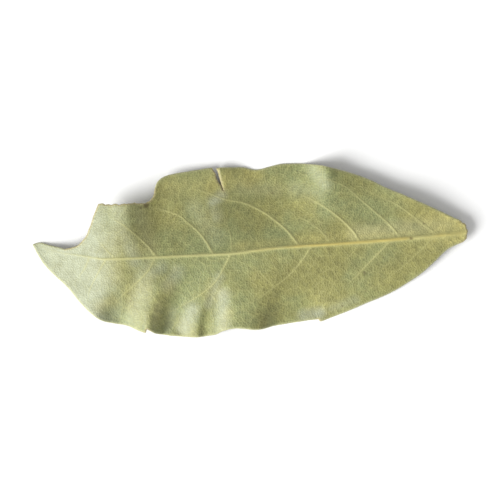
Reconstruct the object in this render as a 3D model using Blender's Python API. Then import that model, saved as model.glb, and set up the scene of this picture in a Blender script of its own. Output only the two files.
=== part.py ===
"""A dried bay leaf, one thin wavy blade with its raised midrib, lying with the underside up.

+X runs along the leaf from its pointed tip to its snapped base, +Y across it, +Z up. The
origin is on the surface that the leaf lies on, under the middle of its box. Sizes in this
file are millimetres, and the mesh is scaled to metres as it is written.
"""

import math

import bmesh
import bpy

MM = 0.001

# Blade: thickness of the sheet, and of the gristly rim that edges it.
BLADE_THICK = 0.32
RIM_THICK = 0.44
RIM_FROM = 0.93        # where the rim starts, as a part of the way from midrib to margin

# Midrib, which stands proud of the underside: half-width and height, tip and base.
RIB_HALF_TIP = 0.22
RIB_HALF_BASE = 0.55
RIB_HIGH_TIP = 0.12
RIB_HIGH_BASE = 0.55
RIB_FADE = 7.0         # length at the tip over which the midrib sinks into the blade

# How the blade passes from the midrib's height to the margin's: 1 is straight, more is domed.
DOME = 1.8
# How much of that is instead folded down at the midrib and flat at the margin, as (x, part).
UPPER_FOLD = ((-45.0, 0.2), (-22.0, 0.5), (-6.0, 0.65), (5.0, 0.75), (11.0, 0.5), (16.0, 0.15),
              (20.0, 0.05), (45.0, 0.05))
LOWER_FOLD = 0.05

# How far above the surface under it the blade starts to bend level where it rests.
REST_SOFT = 0.5

# Where the margin is near the midrib, the midrib's foot keeps to this part of the way there.
FOOT_PART = 0.6

# Faces that meet at more than this angle, in radians, are shaded as a sharp edge.
SHARP_ANGLE = 0.7

# Mesh: length of a cell along the leaf, and the rows from the midrib's foot to the margin.
CELL = 0.88
ROWS = (0.0, 0.14, 0.29, 0.44, 0.59, 0.74, 0.86, 0.94, 1.0)
RIB_ROWS = (0.0, 0.55)

# Margins in plan, tip to base, as (x, y). Each run is smooth and meets the next at a corner.
UPPER_MARGIN = (
    # the bay torn out beside the tip
    ((-45.0, 3.2), (-41.5, 2.5), (-38.2, 1.5), (-35.6, 2.1), (-34.0, 3.4), (-32.8, 5.3),
     (-31.6, 8.3), (-30.6, 10.4)),
    # torn straight across
    ((-30.6, 10.4), (-27.0, 10.1), (-20.6, 10.4)),
    # the shoulder, where the whole margin starts
    ((-20.6, 10.4), (-19.2, 12.6), (-18.3, 14.8), (-16.2, 16.0), (-10.0, 16.9), (-7.2, 17.2)),
    # the split
    ((-7.2, 17.2), (-5.6, 12.3)),
    ((-5.6, 12.3), (-5.2, 17.2)),
    # the long run down to the base
    ((-5.2, 17.2), (-1.0, 17.1), (2.2, 16.5), (7.7, 17.5), (14.4, 16.9), (22.7, 14.5),
     (28.2, 11.8), (33.7, 9.2), (39.2, 6.5), (42.8, 4.7)),
    # the snapped end
    ((42.8, 4.7), (44.3, 3.7), (45.0, 2.5)),
)
LOWER_MARGIN = (
    # tip to the torn corner
    ((-45.0, 2.6), (-43.0, -1.0), (-40.5, -3.7), (-37.8, -6.3), (-35.3, -9.4), (-32.9, -11.8),
     (-30.6, -13.4), (-26.0, -14.6), (-23.8, -15.5), (-22.0, -16.0)),
    # the widest part, up to a nick
    ((-21.6, -15.4), (-19.6, -16.5), (-16.3, -17.2), (-12.1, -17.5), (-8.0, -17.2),
     (-6.2, -16.4), (-3.4, -15.9), (1.1, -16.4), (4.8, -15.8), (10.4, -15.1), (13.8, -14.8)),
    # nick to the snapped end
    ((14.1, -15.2), (18.0, -14.0), (22.7, -12.2), (28.8, -9.9), (34.2, -6.8), (37.7, -4.1),
     (40.6, -1.5), (44.2, 0.3), (45.0, 1.4)),
)

# Where the margins ran before the tip was torn: the blade's heights are set by these.
WHOLE_UPPER = ((-45.0, 3.6), (-38.0, 9.5), (-30.0, 13.8), (-20.0, 16.2), (-7.2, 17.2),
               (7.7, 17.5), (14.4, 16.9), (22.7, 14.5), (33.7, 9.2), (42.8, 4.7), (45.0, 3.4))
WHOLE_LOWER = ((-45.0, 2.2), (-37.8, -6.3), (-30.6, -13.4), (-21.8, -16.0), (-12.1, -17.5),
               (1.1, -16.4), (14.0, -15.0), (22.7, -12.2), (34.2, -6.8), (42.3, -0.8), (45.0, 0.4))

# The midrib in plan, as (x, y).
MIDRIB = ((-45.0, 2.9), (-39.5, 1.0), (-35.5, 0.3), (-32.0, -0.4), (-28.5, -0.8),
          (-14.0, -0.7), (-4.0, -0.6), (5.5, 0.2), (22.5, 0.7), (37.5, 1.4), (45.0, 1.9))

# Heights of the blade's middle along three rails, as (x, z). A height below the surface
# that the leaf lies on is where the margin is pressed flat against it.
MIDRIB_HEIGHT = ((-45.0, -0.3), (-44.0, 0.0), (-41.0, 0.9), (-36.0, 2.5), (-30.0, 4.6),
                 (-26.0, 5.4), (-20.0, 5.1), (-10.0, 4.7), (4.0, 4.5), (18.0, 4.0),
                 (32.0, 3.0), (45.0, 1.9))
UPPER_HEIGHT = ((-45.0, -0.3), (-38.0, 2.1), (-33.0, 3.9), (-29.0, 5.1), (-25.0, 6.1),
                (-22.0, 4.4), (-19.0, 2.7), (-16.0, 2.0), (-12.0, 1.6), (-8.0, 1.3), (-4.5, 1.0),
                (-1.0, 0.4), (2.0, -0.4), (4.0, -0.8), (7.6, -1.0), (10.4, -0.4), (14.0, 1.3),
                (16.6, 2.7), (19.0, 2.8), (22.0, 2.5), (27.0, 2.6), (34.0, 3.2), (39.0, 2.8),
                (45.0, 2.1))
LOWER_HEIGHT = ((-45.0, -0.3), (-39.0, 1.4), (-34.5, 3.0), (-31.8, 3.6), (-28.2, 1.1),
                (-26.4, 0.9), (-23.6, 2.6), (-21.5, 3.6), (-20.2, 2.6), (-18.4, -0.2),
                (-17.0, -0.9), (-14.8, -0.1), (-11.6, 1.5), (-10.2, 0.8), (-9.0, 0.9),
                (-4.8, 2.9), (-0.8, 3.2), (1.6, 2.4), (4.6, 0.0), (8.0, -1.2), (10.6, -1.6),
                (12.6, -1.3), (15.4, -0.4), (18.0, 0.2), (22.0, 0.8), (27.0, 0.9), (31.0, 0.9),
                (38.0, 1.6), (45.0, 1.9))

# The lower margin's waves lean with the side veins, more so as they near the midrib.
WAVE_LEAN = 0.55

# Soft swellings and hollows inside the blade, as (x, y, radius, height).
SWELLINGS = ((-19.0, 6.0, 6.0, -0.6), (-8.0, 9.0, 5.0, 0.3), (-1.0, 8.0, 6.0, -0.3),
             (22.0, -5.0, 9.0, -0.4), (-4.6, -8.0, 5.0, 0.5), (-19.6, -6.0, 5.0, 0.5),
             (23.0, 7.0, 7.0, 0.2), (30.0, 6.0, 7.0, 0.2))

# Creases that start at the margin and die out inside the blade, as (start, end, height at the
# start, width of the tip's side, width of the base's side).
CREASES = (((15.6, 17.4), (17.0, 10.4), 1.2, 4.2, 3.2),
           ((-20.8, -13.0), (-18.6, -1.0), 0.5, 4.5, 3.5))


def smooth(points, x):
    """Height of the smooth curve through points at x: a cubic Hermite on each span."""
    last = len(points) - 1
    i = 0
    while i < last - 1 and x > points[i + 1][0]:
        i += 1
    x0, y0 = points[i]
    x1, y1 = points[i + 1]
    span = x1 - x0
    before = points[max(i - 1, 0)]
    after = points[min(i + 2, last)]
    slope0 = (y1 - before[1]) / (x1 - before[0])
    slope1 = (after[1] - y0) / (after[0] - x0)
    t = min(max((x - x0) / span, 0.0), 1.0)
    return (
        y0 * (1 + 2 * t) * (1 - t) ** 2
        + slope0 * span * t * (1 - t) ** 2
        + y1 * t * t * (3 - 2 * t)
        + slope1 * span * t * t * (t - 1)
    )


def margin(runs, x):
    """Y of a margin at x, from the run that reaches that far."""
    for run in runs:
        if x <= run[-1][0]:
            return smooth(run, max(x, run[0][0]))
    return runs[-1][-1][1]


def ease(t):
    """Smooth step from 0 to 1."""
    t = min(max(t, 0.0), 1.0)
    return t * t * (3 - 2 * t)


def columns():
    """X of each column of vertices: every corner of the margins, and even steps between."""
    corners = {run[0][0] for run in UPPER_MARGIN + LOWER_MARGIN}
    corners |= {run[-1][0] for run in UPPER_MARGIN + LOWER_MARGIN}
    stops = sorted(corners)
    xs = [stops[0]]
    for start, end in zip(stops, stops[1:]):
        steps = max(1, round((end - start) / CELL))
        xs += [start + (end - start) * k / steps for k in range(1, steps + 1)]
    return xs


def height(x, y):
    """Height of the middle of the blade's thickness at a point of the plan."""
    middle = smooth(MIDRIB, x)
    if y > middle:
        part = (y - middle) / (smooth(WHOLE_UPPER, x) - middle)
        edge_height = smooth(UPPER_HEIGHT, x)
        fold = smooth(UPPER_FOLD, x)
    else:
        reach = middle - smooth(WHOLE_LOWER, x)
        part = (middle - y) / reach
        lean = WAVE_LEAN * max(0.0, 1 - part) ** 2 * reach
        edge_height = smooth(LOWER_HEIGHT, x - lean)
        fold = LOWER_FOLD
    share = part ** DOME * (1 - fold) + (1 - (1 - part) ** 2) * fold
    z = smooth(MIDRIB_HEIGHT, x) * (1 - share) + edge_height * share
    for swell_x, swell_y, radius, rise in SWELLINGS:
        near = ((x - swell_x) ** 2 + (y - swell_y) ** 2) / radius ** 2
        z += rise * max(0.0, 1.0 - near) ** 2
    for (start_x, start_y), (end_x, end_y), rise, tip_width, base_width in CREASES:
        run_x, run_y = end_x - start_x, end_y - start_y
        length = math.hypot(run_x, run_y)
        along = ((x - start_x) * run_x + (y - start_y) * run_y) / length ** 2
        aside = ((x - start_x) * run_y - (y - start_y) * run_x) / length
        if start_y > 0:
            aside = -aside
        width = base_width if aside > 0 else tip_width
        z += rise * ease(1 - along) * ease(1 - abs(aside) / width)
    return rested(z, BLADE_THICK / 2)


def rested(z, lowest):
    """z held up to the lowest it may be, with a soft bend where it comes down to it."""
    bend = max(REST_SOFT - abs(z - lowest), 0.0)
    return max(z, lowest) + bend ** 3 / (6 * REST_SOFT ** 2)


def column_points(x):
    """Points across the leaf at x, lower margin to upper: (y, z of the top, z of the bottom)."""
    along = (x - MIDRIB[0][0]) / (MIDRIB[-1][0] - MIDRIB[0][0])
    rib_half = RIB_HALF_TIP + (RIB_HALF_BASE - RIB_HALF_TIP) * along
    rib_high = RIB_HIGH_TIP + (RIB_HIGH_BASE - RIB_HIGH_TIP) * along
    rib_high *= ease((x - MIDRIB[0][0]) / RIB_FADE)
    middle = smooth(MIDRIB, x)
    points = []
    for side, runs in ((-1, LOWER_MARGIN), (1, UPPER_MARGIN)):
        reach = abs(margin(runs, x) - middle)
        foot = min(rib_half, reach * FOOT_PART)
        rows = [(foot * row, rib_high * (1 - row * row)) for row in RIB_ROWS]
        rows += [(foot + (reach - foot) * row, 0.0) for row in ROWS]
        half = []
        for distance, proud in rows:
            part = distance / reach
            rim = ease((part - RIM_FROM) / (1 - RIM_FROM))
            thick = BLADE_THICK + (RIM_THICK - BLADE_THICK) * rim
            y = middle + side * distance
            z = height(x, y)
            under = max(z - thick / 2, 0.0)
            half.append((y, under + thick + proud, under))
        points += half[:0:-1] if side < 0 else half
    return points


def build_leaf():
    """The blade as one closed sheet: its upward face, its downward face and its edge."""
    mesh = bmesh.new()
    up, down = [], []
    for x in columns():
        points = column_points(x)
        up.append([mesh.verts.new((x * MM, y * MM, top * MM)) for y, top, _ in points])
        down.append([mesh.verts.new((x * MM, y * MM, under * MM)) for y, _, under in points])
    count = len(up[0])
    for i in range(len(up) - 1):
        for j in range(count - 1):
            mesh.faces.new((up[i][j], up[i + 1][j], up[i + 1][j + 1], up[i][j + 1]))
            mesh.faces.new((down[i][j], down[i][j + 1], down[i + 1][j + 1], down[i + 1][j]))
        for j, turn in ((0, 1), (count - 1, -1)):
            edge = (down[i][j], down[i + 1][j], up[i + 1][j], up[i][j])
            mesh.faces.new(edge[::turn])
    for i, turn in ((0, -1), (len(up) - 1, 1)):
        for j in range(count - 1):
            edge = (down[i][j], down[i][j + 1], up[i][j + 1], up[i][j])
            mesh.faces.new(edge[::turn])
    centre_on_origin(mesh)
    bmesh.ops.recalc_face_normals(mesh, faces=mesh.faces)
    bmesh.ops.triangulate(mesh, faces=mesh.faces, quad_method="BEAUTY")
    return mesh


def centre_on_origin(mesh):
    """Moves the leaf so that the middle of its box is over the origin."""
    for axis in (0, 1):
        places = [vert.co[axis] for vert in mesh.verts]
        middle = (min(places) + max(places)) / 2
        for vert in mesh.verts:
            vert.co[axis] -= middle


def leaf_material():
    """Pale grey-green of a dried leaf's underside."""
    material = bpy.data.materials.new("leaf_green")
    material.use_nodes = True
    shader = material.node_tree.nodes["Principled BSDF"]
    shader.inputs["Base Color"].default_value = (0.36, 0.38, 0.17, 1.0)
    shader.inputs["Roughness"].default_value = 0.55
    shader.inputs["Metallic"].default_value = 0.0
    return material


def main():
    for thing in list(bpy.data.objects):
        bpy.data.objects.remove(thing, do_unlink=True)
    mesh = build_leaf()
    data = bpy.data.meshes.new("bay_leaf")
    mesh.to_mesh(data)
    mesh.free()
    data.shade_smooth()
    data.set_sharp_from_angle(angle=SHARP_ANGLE)
    data.materials.append(leaf_material())
    leaf = bpy.data.objects.new("bay_leaf", data)
    bpy.context.scene.collection.objects.link(leaf)


main()
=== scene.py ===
"""Grows one dried bay leaf, pale underside up, and sets it on a pale table in soft studio light.

The leaf is drawn flat in plan, in millimetres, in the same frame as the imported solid: +X from
the pointed tip to the snapped base, +Y across, +Z up. Its outline is filled with a fine mesh
whose rows follow the veins. Geometry Nodes then lift it to its waves, give it thickness and
raise its veins.
"""

import math
from functools import reduce
from itertools import accumulate

import bmesh
import bpy
from bpy.props import FloatProperty, FloatVectorProperty, IntProperty, PointerProperty
from mathutils import Matrix, Vector, noise
from mathutils.geometry import delaunay_2d_cdt, intersect_point_line
from mathutils.kdtree import KDTree


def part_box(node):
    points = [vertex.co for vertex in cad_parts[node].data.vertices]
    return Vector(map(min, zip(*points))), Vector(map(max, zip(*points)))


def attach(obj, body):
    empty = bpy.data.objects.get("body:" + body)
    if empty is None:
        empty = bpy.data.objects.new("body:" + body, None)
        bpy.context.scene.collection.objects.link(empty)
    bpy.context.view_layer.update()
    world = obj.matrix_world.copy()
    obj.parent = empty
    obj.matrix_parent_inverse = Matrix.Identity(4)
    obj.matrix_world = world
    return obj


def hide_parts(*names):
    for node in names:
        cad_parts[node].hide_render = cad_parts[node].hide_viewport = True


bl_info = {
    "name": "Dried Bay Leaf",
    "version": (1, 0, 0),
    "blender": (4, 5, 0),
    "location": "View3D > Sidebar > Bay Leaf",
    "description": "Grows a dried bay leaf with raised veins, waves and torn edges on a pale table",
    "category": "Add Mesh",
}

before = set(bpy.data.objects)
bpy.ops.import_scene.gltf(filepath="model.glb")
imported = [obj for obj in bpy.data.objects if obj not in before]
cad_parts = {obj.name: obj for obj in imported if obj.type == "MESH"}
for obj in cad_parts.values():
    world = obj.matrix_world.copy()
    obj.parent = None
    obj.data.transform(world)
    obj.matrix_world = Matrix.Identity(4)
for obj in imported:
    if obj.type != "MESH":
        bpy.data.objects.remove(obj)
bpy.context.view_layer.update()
LEAF_LOW, LEAF_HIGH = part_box("bay_leaf")

MM = 0.001

# ---- The leaf's plan and heights, in millimetres ----

# The edge of the blade, anticlockwise from the tip. Each run is smooth, starts at the corner
# where the one before it ends, and the last ends at the tip, where the first starts. NATURAL is
# the leaf's own gristly rim, BITTEN a clean old bite, TORN a ragged tear.
NATURAL, BITTEN, TORN = range(3)
EDGE_RUNS = (
    (NATURAL, ((-43.0, -1.0), (-40.5, -3.7), (-37.8, -6.3), (-35.3, -9.4), (-32.9, -11.8),
               (-30.6, -13.4), (-26.0, -14.6), (-23.8, -15.5), (-22.1, -16.1))),
    (TORN, ((-21.8, -15.3), (-20.9, -15.8))),
    (NATURAL, ((-19.6, -16.5), (-16.3, -17.2), (-12.1, -17.5), (-8.0, -17.2), (-6.2, -16.4),
               (-3.4, -15.9), (1.1, -16.4), (4.8, -15.8), (10.4, -15.1), (13.7, -14.8))),
    (TORN, ((14.1, -15.3),)),
    (NATURAL, ((18.0, -14.0), (22.7, -12.2), (28.8, -9.9), (34.2, -6.8), (37.7, -4.1),
               (40.6, -1.5), (43.6, -0.1))),
    (TORN, ((44.7, 0.6), (45.0, 1.9), (44.7, 3.2), (43.6, 4.3))),
    (NATURAL, ((42.8, 4.7), (39.2, 6.5), (33.7, 9.2), (28.2, 11.8), (22.7, 14.5), (14.4, 16.9),
               (7.7, 17.5), (2.2, 16.5), (-1.0, 17.1), (-6.2, 17.1))),
    (TORN, ((-5.6, 14.8), (-4.9, 12.3))),
    (TORN, ((-6.1, 14.3), (-7.2, 17.2))),
    (NATURAL, ((-10.0, 16.9), (-16.2, 16.0), (-18.3, 14.8), (-19.0, 13.2))),
    (TORN, ((-19.4, 11.8), (-20.6, 10.4), (-23.5, 10.3), (-27.0, 10.2), (-30.6, 10.5))),
    (BITTEN, ((-31.6, 8.3), (-32.8, 5.3), (-34.0, 3.4), (-35.6, 2.1), (-38.2, 1.5))),
    (NATURAL, ((-41.5, 2.5), (-43.5, 3.1), (-45.0, 2.8))),
)

# Where the margins ran before the tip was bitten: the blade's heights are set by these.
WHOLE_UPPER = ((-45.0, 3.6), (-38.0, 9.5), (-30.0, 13.8), (-20.0, 16.2), (-7.2, 17.2),
               (7.7, 17.5), (14.4, 16.9), (22.7, 14.5), (33.7, 9.2), (42.8, 4.7), (45.0, 3.4))
WHOLE_LOWER = ((-45.0, 2.2), (-37.8, -6.3), (-30.6, -13.4), (-21.8, -16.0), (-12.1, -17.5),
               (1.1, -16.4), (14.0, -15.0), (22.7, -12.2), (34.2, -6.8), (42.3, -0.8), (45.0, 0.4))

# The midrib in plan, as (x, y).
MIDRIB = ((-45.0, 2.9), (-39.5, 1.0), (-35.5, 0.3), (-32.0, -0.4), (-28.5, -0.8),
          (-14.0, -0.7), (-4.0, -0.6), (5.5, 0.2), (22.5, 0.7), (37.5, 1.4), (45.0, 1.9))

# Where the midrib starts to sink into the thick tissue beside the snapped base.
MIDRIB_SINKS = 34.0

# Heights of the blade's middle along three rails, as (x, z). A height below the table is where
# the margin is pressed flat against it.
MIDRIB_HEIGHT = ((-45.0, -0.3), (-44.0, 0.0), (-41.0, 0.9), (-36.0, 2.5), (-30.0, 4.6),
                 (-26.0, 5.4), (-20.0, 5.1), (-10.0, 4.7), (4.0, 4.5), (18.0, 4.0),
                 (32.0, 3.0), (45.0, 1.9))
UPPER_HEIGHT = ((-45.0, -0.3), (-38.0, 2.1), (-33.0, 3.9), (-29.0, 5.1), (-25.0, 6.1),
                (-22.0, 4.4), (-19.0, 2.7), (-16.0, 2.0), (-12.0, 1.6), (-8.0, 1.3), (-4.5, 1.0),
                (-1.0, 0.4), (2.0, -0.4), (4.0, -0.8), (7.6, -1.0), (10.4, -0.4), (14.0, 1.3),
                (16.6, 2.7), (19.0, 2.8), (22.0, 2.5), (27.0, 2.6), (34.0, 3.2), (39.0, 2.8),
                (45.0, 2.1))
LOWER_HEIGHT = ((-45.0, -0.3), (-39.0, 1.4), (-34.5, 3.0), (-31.8, 3.6), (-28.2, 1.1),
                (-26.4, 0.9), (-23.6, 2.6), (-21.5, 3.6), (-20.2, 2.6), (-18.4, -0.2),
                (-17.0, -0.9), (-14.8, -0.1), (-11.6, 1.5), (-10.2, 0.8), (-9.0, 0.9),
                (-4.8, 2.9), (-0.8, 3.2), (1.6, 2.4), (4.6, 0.0), (8.0, -1.2), (10.6, -1.6),
                (12.6, -1.3), (15.4, -0.4), (18.0, 0.2), (22.0, 0.8), (27.0, 0.9), (31.0, 0.9),
                (38.0, 1.6), (45.0, 1.9))

# How the blade passes from the midrib's height to the margin's, as (x, fold). At 0 it is domed
# and curls at the margin, the later the larger DOME is. At 1 it is folded down at the midrib and
# lies flat at the margin.
DOME = 1.8
UPPER_FOLD = ((-45.0, 0.2), (-22.0, 0.5), (-6.0, 0.65), (5.0, 0.75), (11.0, 0.5), (16.0, 0.15),
              (20.0, 0.05), (45.0, 0.05))
LOWER_FOLD = 0.05
# The lower margin's waves lean with the side veins, more so as they near the midrib.
WAVE_LEAN = 0.55
# How far above the table the blade starts to bend level where it is pressed against it.
TABLE_SOFTNESS = 0.5

# Soft swellings and hollows inside the blade, as (x, y, radius, height).
SWELLINGS = ((-19.0, 6.0, 6.0, -0.6), (-8.0, 9.0, 5.0, 0.3), (-1.0, 8.0, 6.0, -0.3),
             (22.0, -5.0, 9.0, -0.4), (-4.6, -8.0, 5.0, 0.5), (-19.6, -6.0, 5.0, 0.5),
             (23.0, 7.0, 7.0, 0.2), (30.0, 6.0, 7.0, 0.2))

# Creases that start at the margin and die out inside the blade, as (start, end, height at the
# start, width of the tip's side, width of the base's side).
CREASES = (((15.6, 17.4), (17.0, 10.4), 1.2, 4.2, 3.2),
           ((-20.8, -13.0), (-18.6, -1.0), 0.5, 4.5, 3.5))

# Where the blade starts to turn to the lumpy tissue of the snapped base, and over what length.
STUB_FROM = 42.8
STUB_FADE = 1.6

# The flap on the base's side of the split stands up a little: its corner, reach and lift, and
# how far the split leans towards the base for each millimetre inwards.
FLAP = (-5.8, 17.0, 5.0, 0.45)
SPLIT_LEAN = 0.25

# Side veins as (half-width where it leaves the midrib, points outwards), tip to base.
SIDE_VEINS = (
    (0.13, ((-33.0, -0.2), (-34.2, -2.6), (-36.0, -4.8))),
    (0.14, ((-29.5, -0.8), (-31.6, -4.0), (-33.4, -7.4), (-33.6, -9.8))),
    (0.13, ((-27.5, -0.8), (-29.6, 1.4), (-31.4, 3.8))),
    (0.20, ((-19.1, -0.8), (-20.9, 1.7), (-24.2, 4.9), (-27.0, 7.0), (-29.6, 8.2))),
    (0.17, ((-19.4, -0.8), (-20.8, -3.3), (-23.4, -5.8), (-26.8, -8.6), (-29.2, -11.0))),
    (0.22, ((-7.5, -0.6), (-9.1, 2.3), (-10.8, 4.5), (-12.7, 6.2), (-14.6, 7.8), (-19.0, 9.3),
            (-22.6, 9.9))),
    (0.19, ((-4.0, -0.6), (-5.1, -2.8), (-7.2, -6.1), (-10.4, -8.7), (-14.1, -10.8),
            (-17.0, -12.2))),
    (0.12, ((-3.6, -0.4), (-3.9, 3.2), (-4.5, 5.5), (-4.9, 7.6))),
    (0.24, ((10.1, 0.4), (8.0, 3.4), (5.2, 6.1), (2.3, 8.2), (-1.0, 9.8), (-4.6, 10.6),
            (-8.4, 12.2), (-11.6, 13.2), (-15.0, 13.0))),
    (0.10, ((4.9, -8.0), (2.6, -5.4), (0.6, -3.1))),
    (0.18, ((12.7, 0.4), (10.9, -2.2), (8.2, -5.2), (5.0, -7.6), (1.4, -10.0), (-1.4, -11.6))),
    (0.12, ((16.6, 0.6), (15.0, 3.0), (12.4, 5.2), (9.8, 6.4))),
    (0.25, ((22.5, 0.8), (21.4, 2.9), (19.0, 5.5), (15.7, 8.2), (12.2, 10.4), (9.4, 12.0))),
    (0.20, ((29.2, 1.0), (26.6, -1.5), (24.2, -3.8), (21.0, -6.9), (18.0, -9.2))),
    (0.20, ((31.2, 1.2), (28.8, 4.2), (25.8, 7.0), (22.6, 10.0), (20.2, 12.2), (16.6, 13.8),
            (12.6, 14.8))),
    (0.16, ((38.8, 1.6), (36.9, 3.1), (33.6, 5.8), (30.4, 8.2), (26.6, 10.2), (23.4, 11.8))),
    (0.10, ((38.2, 1.4), (35.6, -1.0), (32.2, -4.0), (28.4, -6.8), (24.4, -9.2))),
)

# Small brown specks on the underside, as (x, y, radius). The two beside the tear near x -21
# are painted shade in the pits of a small crumple there.
SPECKS_AND_PIT_SHADE = ((33.2, 1.1, 0.32), (23.4, -5.6, 0.24), (-20.9, 9.9, 0.50), (-22.0, 9.5, 0.26),
          (18.6, -12.4, 0.22), (-24.9, -9.6, 0.18), (5.2, 11.6, 0.18), (36.0, 4.0, 0.18),
          (27.4, -2.6, 0.18))

# Streaks of pale colour beyond the tip, as (start, end, reach, strength): partly waxy bloom,
# partly painted highlight and painted light on ridges, slopes and folds. The last one and the
# last dull streak lie side by side, a painted highlight beside a painted shade, and sharpen the
# edge of the fold at the small tear.
BLOOM_AND_HIGHLIGHT_STREAKS = (
    ((-27.0, 9.0), (-29.5, 0.0), 5.0, 0.60),
    ((-26.0, 5.0), (-23.4, -1.5), 3.2, 0.50),
    ((-24.6, -14.0), (-21.2, -3.0), 4.2, 0.40),
    ((-14.4, -16.0), (-12.4, -12.0), 2.8, 0.75),
    ((-6.2, -16.0), (-6.0, -9.0), 2.6, 0.72),
    ((-7.2, 10.2), (-5.4, 11.6), 2.0, 0.80),
    ((13.6, 16.0), (16.0, 12.8), 2.6, 0.40),
    ((10.8, -14.2), (14.0, -13.8), 2.4, 0.80),
    ((16.6, -12.8), (21.4, -11.2), 1.8, 0.32),
    ((22.0, 2.4), (41.0, 3.6), 3.2, 0.42),
    ((-11.0, 9.0), (-7.0, 3.0), 3.6, 0.25),
    ((-22.6, 10.0), (-20.6, 1.0), 3.2, 0.20),
    ((-17.6, -16.0), (-16.4, -12.0), 2.0, 0.30),
    ((-7.4, 10.4), (-6.6, 7.0), 2.4, 0.42),
    ((9.6, 12.4), (14.4, 11.2), 2.8, 0.22),
    ((-1.0, 12.8), (6.0, 12.2), 2.6, 0.20),
    ((-21.0, -4.4), (-18.2, -3.0), 2.6, 0.50),
    ((-17.0, -6.6), (-15.0, -4.0), 2.6, 0.50),
    ((-9.0, -11.0), (-6.4, -5.2), 1.8, 0.50),
    ((-20.6, -14.4), (-19.4, -11.0), 1.8, 0.24),
    ((42.6, 2.4), (44.6, 2.2), 1.8, 0.26),
    ((-22.4, -15.2), (-21.9, -12.2), 0.9, 0.34),
)

# Streaks of yellowed colour, as (start, end, reach, strength): partly real yellowing, partly
# painted light on flanks beside the midrib, on folds and at the snapped base.
YELLOW_AND_PAINTED_LIGHT_STREAKS = (
    ((-16.0, 13.6), (0.0, 14.6), 5.0, 0.46),
    ((26.0, 11.4), (34.0, 7.4), 4.0, 0.18),
    ((21.0, 2.4), (43.0, 3.2), 3.2, 0.40),
    ((-3.0, 0.9), (22.0, 1.9), 1.9, 0.38),
    ((22.0, 1.9), (44.0, 2.8), 1.9, 0.55),
    ((42.4, 2.6), (44.4, 2.4), 1.9, 0.95),
    ((-6.0, -16.0), (-4.6, -12.4), 2.0, 0.28),
    ((-20.2, -14.0), (-16.8, -7.0), 2.8, 0.36),
    ((-31.2, -10.6), (-28.8, -9.4), 2.4, 0.34),
)

# Streaks where the underside is drawn darker, as (start, end, reach, strength): partly duller
# tissue, partly painted shade on folds and on the curled margin. The last one is the painted
# shade at the fold's edge beside the last pale streak.
DULL_AND_SHADE_STREAKS = (
    ((8.0, -5.6), (30.0, -3.6), 4.6, 0.34),
    ((14.0, -5.4), (15.8, -11.0), 3.4, 0.36),
    ((-18.6, 9.4), (-15.4, 3.0), 3.2, 0.42),
    ((-29.6, -12.0), (-28.8, -8.8), 2.3, 0.70),
    ((-2.0, -15.0), (3.0, -13.6), 2.8, 0.56),
    ((34.0, -3.4), (40.0, -1.0), 2.4, 0.26),
    ((35.0, 7.0), (39.0, 5.4), 2.0, 0.26),
    ((14.0, 4.4), (17.0, 2.6), 2.4, 0.50),
    ((20.6, 13.6), (23.4, 12.2), 2.2, 0.30),
    ((2.4, 15.8), (12.6, 15.6), 2.0, 0.30),
    ((-21.2, -15.6), (-20.7, -12.4), 0.9, 0.36),
)

# The small veins that cross from one side vein to the next: their slant from the midrib, in
# radians, how much longer than wide their cells are, and how far the pattern of one half of
# the blade is moved so that the other half isn't its mirror image.
RUNG_SLANT = 0.96
RUNG_STRETCH = 1.9
OTHER_HALF = 170.0

# Mesh: rows beside a side vein and beside the midrib, and the steps along and between them.
VEIN_ROWS = (0.0, 0.15, 0.32, 0.52)
MIDRIB_ROWS = (0.0, 0.16, 0.32, 0.48, 0.66, 0.9)
ROW_STEP = 0.34
EDGE_STEP = 0.24
FILL_STEP = 0.33
NEAREST = 0.13          # no two points inside the plan are closer than this,
FILL_APART = 0.2244     # none of the fill is closer than this to another,
EDGE_MARGIN = 0.16      # and none is closer than this to the edge

TORN_REACH = 0.7        # how far in from a tear the blade is crumbly and tan

# A vein's ridge and the pale halo beside it, as (power, steepness) of their fall sideways, and
# how much of a ridge shows on the upper side.
VEIN_BELL = (2.4, 1.1)
HALO_BELL = (2.0, 0.07)
RIDGE_BELOW = 0.22

BUCKLES_HELD = 1.6      # nearer to the midrib than this, the blade buckles less
LUMP_SCALE = 1100.0     # how fast the lumps beside a tear change, per metre

# Fibres of the midrib: how fast their pattern changes along, across and up, per metre.
FIBRE_SCALE = (350.0, 5000.0, 1000.0)

# The leaf's three skins, in the order of their numbers on its faces, and the lengths that the
# relief nodes are given.
SKINS = ("Underside", "Upper Side", "Edge")
RELIEF_LENGTHS = ("Blade Thickness", "Rim Thickness", "Rim Width", "Cockle Height", "Cockle Size",
                  "Lump Height")

PIECE_NAME = "bay_leaf_blade"
VEIN_OBJECT = "bay_leaf_vein_paths"


def cubic(t, start, end, leaving, arriving):
    """A cubic Hermite span at t, between two values or places with their slopes."""
    return (
        start * (1 + 2 * t) * (1 - t) ** 2
        + leaving * t * (1 - t) ** 2
        + end * t * t * (3 - 2 * t)
        + arriving * t * t * (t - 1)
    )


def smooth(points, x):
    """Height of the smooth curve through points at x."""
    last = len(points) - 1
    i = 0
    while i < last - 1 and x > points[i + 1][0]:
        i += 1
    (x0, y0), (x1, y1) = points[i:i + 2]
    before = points[max(i - 1, 0)]
    after = points[min(i + 2, last)]
    slope0 = (y1 - before[1]) / (x1 - before[0])
    slope1 = (after[1] - y0) / (after[0] - x0)
    span = x1 - x0
    t = min(max((x - x0) / span, 0.0), 1.0)
    return cubic(t, y0, y1, slope0 * span, slope1 * span)


def ease(t):
    """Smooth step from 0 to 1."""
    t = min(max(t, 0.0), 1.0)
    return t * t * (3 - 2 * t)


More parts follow.
